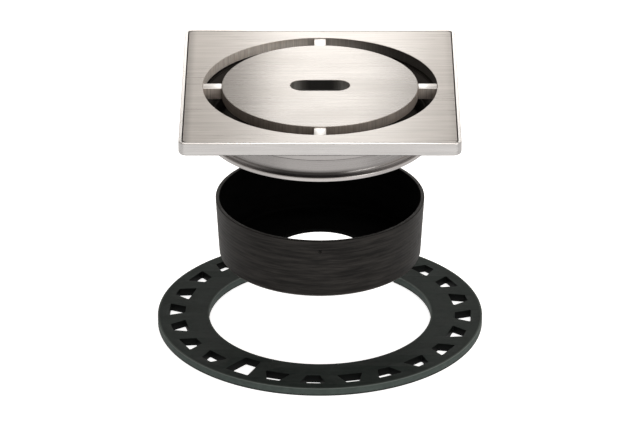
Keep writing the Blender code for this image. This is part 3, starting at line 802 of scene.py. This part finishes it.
# ----------------------------------------------------------------------- tray
def tray():
    lo, hi = TRAY
    half = hi.x
    z0, z1 = lo.z, hi.z
    rim, base, corner, foot, bore = 1.2 * MM, 0.8 * MM, 2.8 * MM, 1.2 * MM, 42.9 * MM
    outline = square_angles(72, 14, half, corner)
    angles = outline_angles(outline)
    loops = []
    c = 0.28 * MM
    # rim top, outer edge chamfer softened, side, rounded foot, underside
    for inset, z in round_edge(c, z1 - c, c, 90, 0, 4):
        loops.append(square_loop(outline, inset, z))
    for inset, z in round_edge(foot, z0 + foot, foot, 0, -90, 6):
        loops.append(square_loop(outline, inset, z))
    e = 0.12 * MM
    loops.append(circle(bore + e, z0, angles))
    loops.append(circle(bore, z0 + e, angles))
    loops.append(circle(bore, z0 + base - e, angles))
    loops.append(circle(bore + e, z0 + base, angles))
    inner = 1.0 * MM
    for i in range(0, 6):
        t = math.radians(-90 + 90 * i / 5)
        loops.append(square_loop(outline, rim + inner - inner * math.cos(t),
                                 z0 + base + inner + inner * math.sin(t)))
    s = 0.10 * MM
    loops.append(square_loop(outline, rim, z1 - s))
    loops.append(square_loop(outline, rim - s * 0.3, z1 - s * 0.3))
    loops.append(square_loop(outline, rim - s, z1))
    return finish_mesh(loft(loops), "frame_tray_body", sharp=36.0)


tray_obj = settle(tray(), "tray_stage", "frame_tray", tray_mat_x)
tray_obj.data.materials.append(tray_mat_y)
tray_obj.data.materials.append(shaded_inner_mat)
tray_obj.data.materials.append(gap_shade_mat)
# painted shade: the bore wall takes the dark inside look, the base top and the rim's inner walls the darker gap look
for poly in tray_obj.data.polygons:
    c, nrm = poly.center, poly.normal
    deep = max(abs(c.x), abs(c.y)) < TRAY[1].x - 1.12 * MM
    bore = math.hypot(c.x, c.y) < 43.1 * MM and nrm.z > -0.5
    if bore and abs(nrm.z) < 0.9:
        poly.material_index = 2
    elif deep and c.z > TRAY[0].z + 0.5 * MM:
        poly.material_index = 3
    elif abs(c.x) > abs(c.y) and abs(nrm.z) < 0.95 or abs(c.x) > abs(c.y) and nrm.z > 0:
        poly.material_index = 1


# ---------------------------------------------------------------------- grate
def plate():
    lo, hi = PLATE
    half, z0, z1 = hi.x, lo.z, hi.z
    corner, hole = 1.5 * MM, 42.4 * MM
    outline = square_angles(72, 12, half, corner)
    angles = outline_angles(outline)
    c = 0.18 * MM
    loops = []
    for inset, z in round_edge(c, z1 - c, c, 90, 0, 3):
        loops.append(square_loop(outline, inset, z))
    for inset, z in round_edge(c, z0 + c, c, 0, -90, 3):
        loops.append(square_loop(outline, inset, z))
    for i in range(0, 4):
        t = math.radians(-90 + 90 * i / 3)
        loops.append(circle(hole + c - c * math.cos(t), z0 + c + c * math.sin(t), angles))
    for i in range(0, 4):
        t = math.radians(90 * i / 3)
        loops.append(circle(hole + c - c * math.cos(t), z1 - c + c * math.sin(t), angles))
    obj = finish_mesh(loft(loops), "grate_plate_body", sharp=32.0)
    # blind pockets that hold the rest pads
    for key, (plo, phi) in PAD.items():
        bm = bmesh.new()
        bmesh.ops.create_cone(bm, cap_ends=True, segments=48, radius1=4.25 * MM,
                              radius2=4.25 * MM, depth=2.8 * MM)
        bmesh.ops.translate(bm, verts=bm.verts,
                            vec=((plo.x + phi.x) / 2, (plo.y + phi.y) / 2,
                                 z0 + 0.8 * MM - 1.4 * MM))
        cutter = finish_mesh(bm, "pocket_tool_" + key)
        mod = obj.modifiers.new("pocket_" + key, "BOOLEAN")
        mod.operation, mod.object, mod.solver = "DIFFERENCE", cutter, "EXACT"
        dg = bpy.context.evaluated_depsgraph_get()
        mesh = bpy.data.meshes.new_from_object(obj.evaluated_get(dg))
        obj.modifiers.clear()
        obj.data = mesh
        bpy.data.objects.remove(cutter)
    return obj


plate_obj = settle(plate(), "grate_stage", "grate_plate", plate_mat)
plate_obj.data.materials.append(plate_edge_mat)
plate_obj.data.materials.append(gap_shade_mat)
plate_obj.data.materials.append(shaded_inner_mat)
# painted shade: the underside round the hole takes the dark inside look, the outer sides the darker gap look
for poly in plate_obj.data.polygons:
    r = math.hypot(poly.center.x, poly.center.y)
    if poly.normal.z < -0.15 and r < 42.8 * MM:
        poly.material_index = 3
    elif abs(poly.normal.z) < 0.5 and r < 42.6 * MM:
        poly.material_index = 1
    elif abs(poly.normal.z) < 0.5:
        poly.material_index = 2


def disc():
    lo, hi = DISC
    r, z0, z1 = hi.x, lo.z, hi.z
    c = 0.18 * MM
    length, width = 21.5 * MM, 9.3 * MM
    rad, flat = width / 2, (length - width) / 2
    count = 320
    # the slot's outline, walked evenly, sets the angles
    path = []
    per = math.pi * rad
    total = 2 * per + 4 * flat
    for i in range(count):
        s = total * i / count
        if s < per / 2:
            a = s / rad
            path.append((Vector((flat + rad * math.cos(a), rad * math.sin(a))), Vector((math.cos(a), math.sin(a)))))
        elif s < per / 2 + 2 * flat:
            path.append((Vector((flat - (s - per / 2), rad)), Vector((0, 1))))
        elif s < 1.5 * per + 2 * flat:
            a = math.pi / 2 + (s - per / 2 - 2 * flat) / rad
            path.append((Vector((-flat + rad * math.cos(a), rad * math.sin(a))), Vector((math.cos(a), math.sin(a)))))
        elif s < 1.5 * per + 4 * flat:
            path.append((Vector((-flat + (s - 1.5 * per - 2 * flat), -rad)), Vector((0, -1))))
        else:
            a = 1.5 * math.pi + (s - 1.5 * per - 4 * flat) / rad
            path.append((Vector((flat + rad * math.cos(a), rad * math.sin(a))), Vector((math.cos(a), math.sin(a)))))
    angles = even(count)

    def slot_loop(grow, z):
        return [Vector((p.x + d.x * grow, p.y + d.y * grow, z)) for p, d in path]

    loops = []
    for i in range(4):
        t = math.radians(90 - 90 * i / 3)
        loops.append(circle(r - c + c * math.cos(t), z1 - c + c * math.sin(t), angles))
    for i in range(4):
        t = math.radians(-90 * i / 3)
        loops.append(circle(r - c + c * math.cos(t), z0 + c + c * math.sin(t), angles))
    for i in range(4):
        t = math.radians(-90 + 90 * i / 3)
        loops.append(slot_loop(c - c * math.cos(t), z0 + c + c * math.sin(t)))
    for i in range(4):
        t = math.radians(90 * i / 3)
        loops.append(slot_loop(c - c * math.cos(t), z1 - c + c * math.sin(t)))
    return finish_mesh(loft(loops), "grate_disc_body", sharp=32.0)


disc_obj = settle(disc(), "grate_stage", "grate_disc", disc_mat)
disc_obj.data.materials.append(disc_edge_mat)
disc_obj.data.materials.append(slot_edge_mat)
disc_obj.data.materials.append(shaded_inner_mat)
# painted shade: the underside near the rim takes the dark inside look
for poly in disc_obj.data.polygons:
    r = math.hypot(poly.center.x, poly.center.y)
    if poly.normal.z < -0.15 and r > 35.2 * MM:
        poly.material_index = 3
    elif abs(poly.normal.z) < 0.5:
        poly.material_index = 1 if r > 20 * MM else 2


def bar(key):
    """A bright bar whose ends run a little into the disc and the plate, with rounded edges."""
    lo, hi = BAR[key]
    reach = 0.28 * MM
    if key in ("left", "right"):
        lo, hi = lo - Vector((reach, 0, 0)), hi + Vector((reach, 0, 0))
    else:
        lo, hi = lo - Vector((0, reach, 0)), hi + Vector((0, reach, 0))
    bm = bmesh.new()
    bmesh.ops.create_cube(bm, size=1.0)
    bmesh.ops.scale(bm, verts=bm.verts, vec=hi - lo)
    bmesh.ops.translate(bm, verts=bm.verts, vec=(lo + hi) / 2)
    bmesh.ops.bevel(bm, geom=bm.edges[:], offset=0.16 * MM, segments=3, profile=0.5,
                    affect="EDGES")
    return finish_mesh(bm, "bridge_bar_%s_body" % key, sharp=32.0)


for key in BAR:
    bar_obj = settle(bar(key), "grate_stage", "bridge_bar_" + key,
                     bar_mat if key in ("left", "right") else bar_mat_y)
    bar_obj.data.materials.append(bar_edge_mat)
    for poly in bar_obj.data.polygons:
        if abs(poly.normal.z) < 0.5:
            poly.material_index = 1


def pad(key):
    lo, hi = PAD[key]
    cx, cy = (lo.x + hi.x) / 2, (lo.y + hi.y) / 2
    r = (hi.x - lo.x) / 2
    angles = even(64)
    e = 0.22 * MM
    rows = []
    for i in range(5):
        t = math.radians(90 - 90 * i / 4)
        rows.append((r - e + e * math.cos(t), hi.z - e + e * math.sin(t)))
    for i in range(5):
        t = math.radians(-90 * i / 4)
        rows.append((r - e + e * math.cos(t), lo.z + e + e * math.sin(t)))
    # a moulded dimple in the face that rests on the tray
    rows += [(r * 0.62, lo.z), (r * 0.56, lo.z + 0.10 * MM), (r * 0.30, lo.z + 0.12 * MM)]
    bm = bmesh.new()
    verts = [[bm.verts.new((cx + rr * math.cos(a), cy + rr * math.sin(a), z)) for a in angles]
             for rr, z in rows]
    for a, b in zip(verts, verts[1:]):
        for i in range(len(angles)):
            j = (i + 1) % len(angles)
            bm.faces.new((a[i], a[j], b[j], b[i]))
    bm.faces.new(verts[0])
    bm.faces.new(verts[-1][::-1])
    return finish_mesh(bm, "rest_pad_%s_body" % key, sharp=35.0)


for key in PAD:
    settle(pad(key), "grate_stage", "rest_pad_" + key, rubber_mat)

# ---------------------------------------------------------------------- stage
floor_mesh = bpy.data.meshes.new("floor")
bm = bmesh.new()
bmesh.ops.create_grid(bm, x_segments=2, y_segments=2, size=6.0)
bm.to_mesh(floor_mesh)
bm.free()
floor = bpy.data.objects.new("floor", floor_mesh)
floor.location = (0, 0, ADJ[0].z - 0.00005)
scene.collection.objects.link(floor)
fl = Nodes("floor_look")
fl_noise = fl.noise(fl.mapped((3, 3, 3)), 1.0, 3.0, 0.5)
fl.link(fl.mix(fl.span(fl_noise, 0.3, 0.7, 0.0, 1.0), (0.86, 0.86, 0.86), (0.90, 0.90, 0.90)),
        fl.bsdf.inputs["Base Color"])
fl.bsdf.inputs["Roughness"].default_value = 0.9
fl.bsdf.inputs["Specular IOR Level"].default_value = 0.0
# a lit table, so that the product stands on plain white with hardly a shadow
fl.bsdf.inputs["Emission Color"].default_value = (1.0, 1.0, 1.0, 1.0)
fl.bsdf.inputs["Emission Strength"].default_value = 0.78
floor_mesh.materials.append(fl.mat)
# the metal mirrors the studio below (the world's lower half), not the table
floor.visible_glossy = False

# --------------------------------------------------------------------- camera
DIST = 1.700
ELEV = math.radians(24.4)
PITCH = math.radians(25.957)
FOCAL_PX = 4701.0
cam_data = bpy.data.cameras.new("camera")
cam = bpy.data.objects.new("camera", cam_data)
scene.collection.objects.link(cam)
cam_data.sensor_width = 36.0
cam_data.lens = FOCAL_PX * 36.0 / 640.0
cam_data.shift_x = 0.0
cam_data.clip_start, cam_data.clip_end = 0.05, 50.0
cam.location = (0.0, -DIST * math.cos(ELEV), TOP + DIST * math.sin(ELEV))
cam.rotation_euler = (math.pi / 2 - PITCH, 0.0, 0.0)
scene.camera = cam

# --------------------------------------------------------------------- lights
world = bpy.data.worlds.new("world")
scene.world = world
world.use_nodes = True


def studio(tree):
    """Soft walls: warm and even above, bright in front and darker at the sides below."""
    def add(kind, **props):
        node = tree.nodes.new(kind)
        for k, v in props.items():
            setattr(node, k, v)
        return node

    def put(op, *args):
        node = add("ShaderNodeMath", operation=op)
        for i, v in enumerate(args):
            if isinstance(v, (int, float)):
                node.inputs[i].default_value = v
            else:
                tree.links.new(v, node.inputs[i])
        return node.outputs[0]

    def span(value, a, b, lo, hi):
        node = add("ShaderNodeMapRange", interpolation_type="SMOOTHSTEP")
        for key, v in (("From Min", a), ("From Max", b), ("To Min", lo), ("To Max", hi)):
            node.inputs[key].default_value = v
        tree.links.new(value, node.inputs["Value"])
        return node.outputs["Result"]

    coord = add("ShaderNodeTexCoord")
    sep = add("ShaderNodeSeparateXYZ")
    tree.links.new(coord.outputs["Generated"], sep.inputs[0])
    x, y, z = sep.outputs
    flat = put("SQRT", put("ADD", put("MULTIPLY", x, x), put("MULTIPLY", y, y)))
    flat = put("MAXIMUM", flat, 0.001)
    turn = math.radians(5.0)
    # cosine of the angle from straight in front, turned a little to the right
    facing = put("DIVIDE", put("ADD", put("MULTIPLY", x, math.sin(turn)),
                               put("MULTIPLY", y, -math.cos(turn))), flat)
    below = span(facing, 0.50, 0.84, 0.62, 0.80)
    side = put("DIVIDE", x, flat)
    above = put("ADD", span(z, 0.0, 0.8, 0.30, 0.44), put("MULTIPLY", side, 0.08))
    mix = add("ShaderNodeMix", data_type="RGBA")
    tree.links.new(span(z, -0.12, 0.02, 0.0, 1.0), mix.inputs[0])
    for socket, level, tint in ((6, below, (1.0, 0.975, 0.955)), (7, above, (1.0, 0.93, 0.865))):
        col = add("ShaderNodeVectorMath", operation="SCALE")
        col.inputs[0].default_value = tint
        tree.links.new(level, col.inputs["Scale"])
        tree.links.new(col.outputs[0], mix.inputs[socket])
    back = tree.nodes["Background"]
    tree.links.new(mix.outputs[2], back.inputs["Color"])
    back.inputs["Strength"].default_value = 1.0


studio(world.node_tree)


def area(name, place, aim, size_x, size_y, radiance, colour=(1, 1, 1)):
    data = bpy.data.lights.new(name, "AREA")
    data.shape = "RECTANGLE"
    data.size, data.size_y = size_x, size_y
    data.energy = radiance * math.pi * size_x * size_y
    data.color = colour
    obj = bpy.data.objects.new(name, data)
    scene.collection.objects.link(obj)
    obj.location = place
    obj.rotation_euler = (Vector(aim) - Vector(place)).to_track_quat("-Z", "Y").to_euler()
    obj.visible_camera = False
    return obj


area("rear_strip", (0.009, 0.62, 0.40), (0, 0, 0.095), 0.080, 0.42, 1.90, (1.0, 1.0, 0.995))
area("rear_card", (0.0, 0.145, 0.140), (0, 0, 0.092), 0.42, 0.06, 0.85, (1.0, 0.95, 0.90))
area("top_softbox", (0.10, 0.25, 1.6), (0, 0, 0), 1.3, 1.3, 2.6, (1.0, 0.965, 0.925))
area("right_softbox", (0.9, -0.9, 0.7), (0, 0, 0.06), 0.7, 0.7, 2.6, (1.0, 0.985, 0.96))
